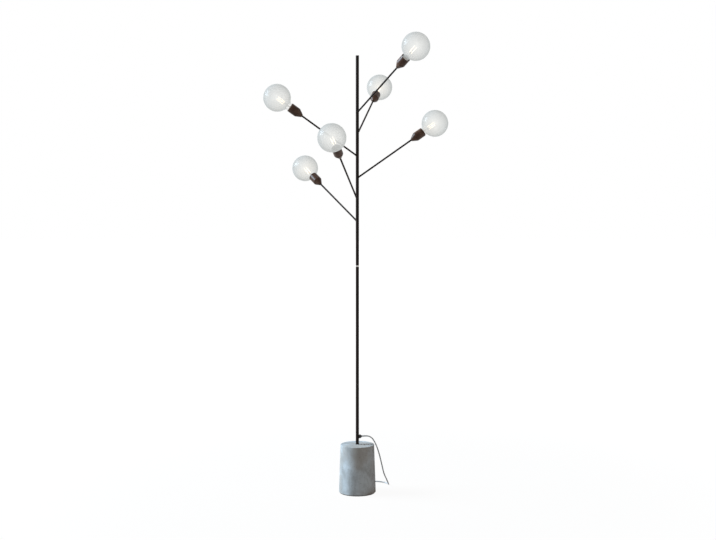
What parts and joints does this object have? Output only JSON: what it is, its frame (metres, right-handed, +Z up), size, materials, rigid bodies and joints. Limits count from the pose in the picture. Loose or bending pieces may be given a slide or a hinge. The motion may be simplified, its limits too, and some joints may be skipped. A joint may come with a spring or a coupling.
{
  "type": "tree floor lamp",
  "caption": "Floor lamp like a bare tree: a thin metal pole in a tapered concrete block, with straight rising arms that each carry a clear globe bulb.",
  "frame": {"origin": "on the floor, on the pole's axis, at the middle of the pad under the concrete block", "axes": "+Z up along the pole; -Y towards the viewer of the picture, +X to the viewer's right"},
  "size_m": [0.8492, 0.8358, 2.0808],
  "materials": {
    "concrete": "cast concrete, mottled grey, fine pores",
    "pad_rubber": "matt",
    "zinc_steel": "zinc plated",
    "bare_steel": "turned, bare",
    "dark_bronze": "satin powder coat, black with a brown cast",
    "brown_enamel": "glossy dark red-brown",
    "socket_plastic": "matt black",
    "brass": "plain",
    "clear_glass": "clear, polished",
    "cap_metal": "nickel plated",
    "lit_filament": "lit, warm white",
    "grey_flex": "clear-grey sheath over silver cores",
    "inner_lead": "insulated",
    "black_plastic": "matt black",
    "button_plastic": "half gloss black"
  },
  "bodies": {
    "lamp": {"concrete_base": "concrete", "base_pad": "pad_rubber", "base_stud": "zinc_steel", "base_washer": "zinc_steel", "base_nut": "zinc_steel", "pole_foot_insert": "zinc_steel", "holder_nuts": "zinc_steel", "pole_joint": "bare_steel", "lower_pole": "dark_bronze", "upper_pole": "dark_bronze", "pole_top_plug": "dark_bronze", "arm_1": "dark_bronze", "arm_2": "dark_bronze", "arm_3": "dark_bronze", "arm_4": "dark_bronze", "arm_5": "dark_bronze", "arm_6": "dark_bronze", "holder_1_cover": "brown_enamel", "holder_2_cover": "brown_enamel", "holder_3_cover": "brown_enamel", "holder_4_cover": "brown_enamel", "holder_5_cover": "brown_enamel", "holder_6_cover": "brown_enamel", "holder_1_socket": "socket_plastic", "holder_2_socket": "socket_plastic", "holder_3_socket": "socket_plastic", "holder_4_socket": "socket_plastic", "holder_5_socket": "socket_plastic", "holder_6_socket": "socket_plastic", "socket_contacts": "brass", "plug_pins": "brass", "cord_lead": "grey_flex", "cord_run": "grey_flex", "cord_coil": "grey_flex", "cord_tail": "grey_flex", "lead_harness": "inner_lead", "cord_gland": "black_plastic", "switch_base": "black_plastic", "switch_cover": "black_plastic", "plug_body": "black_plastic", "cord_tie": "black_plastic"},
    "bulb_1_base": {"bulb_1_cap": "cap_metal"},
    "bulb_1_glass": {"bulb_1_globe": "clear_glass", "bulb_1_filament": "lit_filament"},
    "bulb_2_base": {"bulb_2_cap": "cap_metal"},
    "bulb_2_glass": {"bulb_2_globe": "clear_glass", "bulb_2_filament": "lit_filament"},
    "bulb_3_base": {"bulb_3_cap": "cap_metal"},
    "bulb_3_glass": {"bulb_3_globe": "clear_glass", "bulb_3_filament": "lit_filament"},
    "bulb_4_base": {"bulb_4_cap": "cap_metal"},
    "bulb_4_glass": {"bulb_4_globe": "clear_glass", "bulb_4_filament": "lit_filament"},
    "bulb_5_base": {"bulb_5_cap": "cap_metal"},
    "bulb_5_glass": {"bulb_5_globe": "clear_glass", "bulb_5_filament": "lit_filament"},
    "bulb_6_base": {"bulb_6_cap": "cap_metal"},
    "bulb_6_glass": {"bulb_6_globe": "clear_glass", "bulb_6_filament": "lit_filament"},
    "foot_button": {"switch_button": "button_plastic"}
  },
  "joints": [
    {"name": "bulb_1_lift", "type": "slide", "parent": "lamp", "child": "bulb_1_base", "axis": [0.5607, -0.6013, 0.5693], "range_m": [0, 0.01453]},
    {"name": "bulb_1_unscrew", "type": "hinge", "parent": "bulb_1_base", "child": "bulb_1_glass", "pos_m": [0.19036, -0.20413, 1.95427], "axis": [0.5607, -0.6013, 0.5693], "range_deg": [0, 1440]},
    {"name": "bulb_2_lift", "type": "slide", "parent": "lamp", "child": "bulb_2_base", "axis": [0.2404, 0.7862, 0.5693], "range_m": [0, 0.01453]},
    {"name": "bulb_2_unscrew", "type": "hinge", "parent": "bulb_2_base", "child": "bulb_2_glass", "pos_m": [0.08161, 0.26692, 1.85427], "axis": [0.2404, 0.7862, 0.5693], "range_deg": [0, 1440]},
    {"name": "bulb_3_lift", "type": "slide", "parent": "lamp", "child": "bulb_3_base", "axis": [-0.8011, -0.1849, 0.5693], "range_m": [0, 0.01453]},
    {"name": "bulb_3_unscrew", "type": "hinge", "parent": "bulb_3_base", "child": "bulb_3_glass", "pos_m": [-0.27196, -0.06279, 1.75427], "axis": [-0.8011, -0.1849, 0.5693], "range_deg": [0, 1440]},
    {"name": "bulb_4_lift", "type": "slide", "parent": "lamp", "child": "bulb_4_base", "axis": [0.8011, 0.1849, 0.5693], "range_m": [0, 0.01453]},
    {"name": "bulb_4_unscrew", "type": "hinge", "parent": "bulb_4_base", "child": "bulb_4_glass", "pos_m": [0.27196, 0.06279, 1.65427], "axis": [0.8011, 0.1849, 0.5693], "range_deg": [0, 1440]},
    {"name": "bulb_5_lift", "type": "slide", "parent": "lamp", "child": "bulb_5_base", "axis": [-0.2404, -0.7862, 0.5693], "range_m": [0, 0.01453]},
    {"name": "bulb_5_unscrew", "type": "hinge", "parent": "bulb_5_base", "child": "bulb_5_glass", "pos_m": [-0.08161, -0.26692, 1.55427], "axis": [-0.2404, -0.7862, 0.5693], "range_deg": [0, 1440]},
    {"name": "bulb_6_lift", "type": "slide", "parent": "lamp", "child": "bulb_6_base", "axis": [-0.5607, 0.6013, 0.5693], "range_m": [0, 0.01453]},
    {"name": "bulb_6_unscrew", "type": "hinge", "parent": "bulb_6_base", "child": "bulb_6_glass", "pos_m": [-0.19036, 0.20413, 1.45427], "axis": [-0.5607, 0.6013, 0.5693], "range_deg": [0, 1440]},
    {"name": "foot_button_press", "type": "slide", "parent": "lamp", "child": "foot_button", "axis": [0, 0, -1], "range_m": [0, 0.0025], "stiffness_N_per_m": 600, "springref_m": -0.002}
  ],
  "couplings": [
    {"joint": "bulb_1_lift", "follows": "bulb_1_unscrew", "m_per_rad": 0.00057757},
    {"joint": "bulb_2_lift", "follows": "bulb_2_unscrew", "m_per_rad": 0.00057757},
    {"joint": "bulb_3_lift", "follows": "bulb_3_unscrew", "m_per_rad": 0.00057757},
    {"joint": "bulb_4_lift", "follows": "bulb_4_unscrew", "m_per_rad": 0.00057757},
    {"joint": "bulb_5_lift", "follows": "bulb_5_unscrew", "m_per_rad": 0.00057757},
    {"joint": "bulb_6_lift", "follows": "bulb_6_unscrew", "m_per_rad": 0.00057757}
  ]
}
